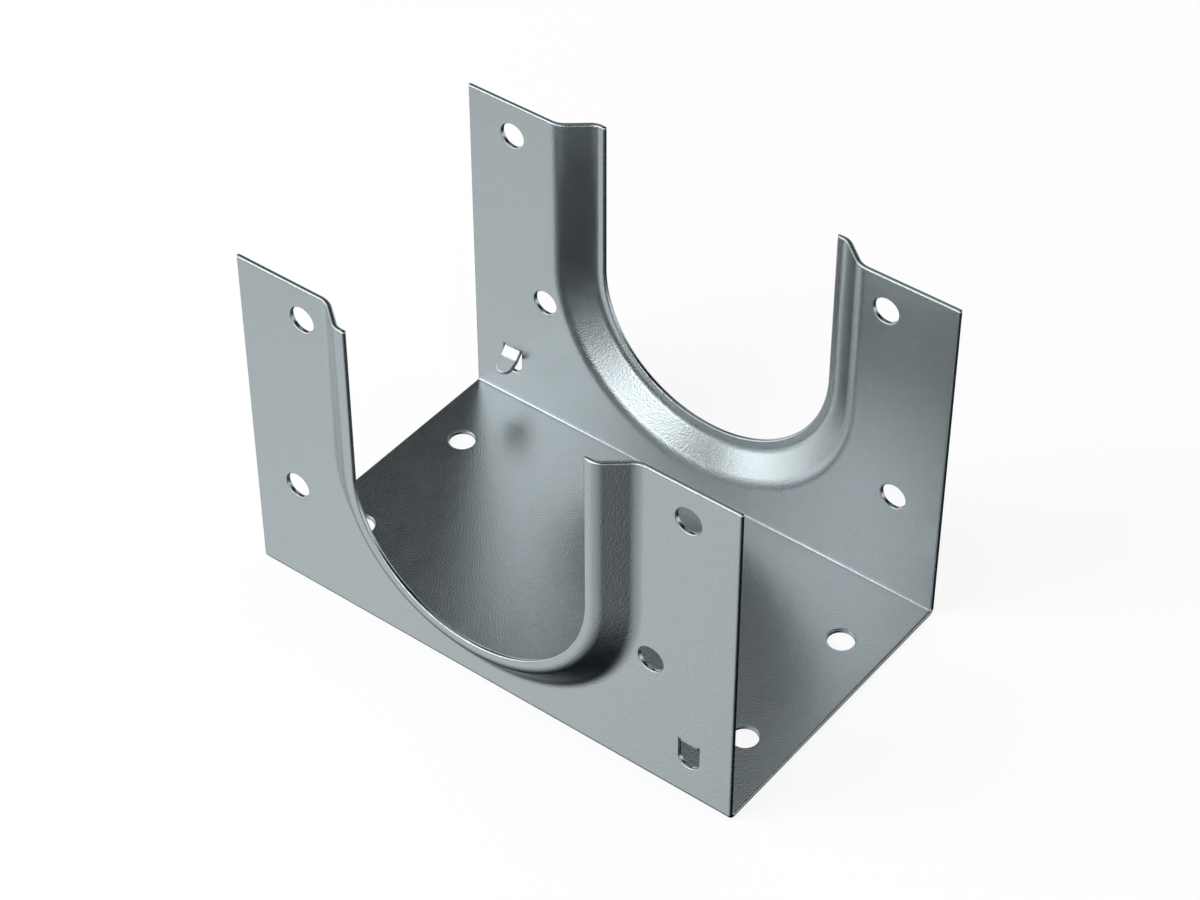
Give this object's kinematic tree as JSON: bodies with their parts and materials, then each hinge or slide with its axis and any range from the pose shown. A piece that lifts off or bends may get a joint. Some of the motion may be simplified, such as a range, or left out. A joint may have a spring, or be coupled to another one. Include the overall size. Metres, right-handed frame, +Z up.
{
  "type": "stud shoe",
  "caption": "Channel folded from galvanised steel sheet that is nailed round a notched wall stud, with deep U notches that let a pipe pass between drawn rims.",
  "frame": {"origin": "middle of the base's underside, which is the plane the shoe stands on", "axes": "+X along the stud, +Y across the channel from wall to wall, +Z up the walls, out of the base"},
  "size_m": [0.1334, 0.0906, 0.0901],
  "materials": {
    "galvanised_sheet": "satin zinc coating with a very fine rolled grain and faint mottling, cut edges bare and slightly rounded"
  },
  "bodies": {
    "root": {"stud_shoe": "galvanised_sheet"}
  },
  "joints": []
}
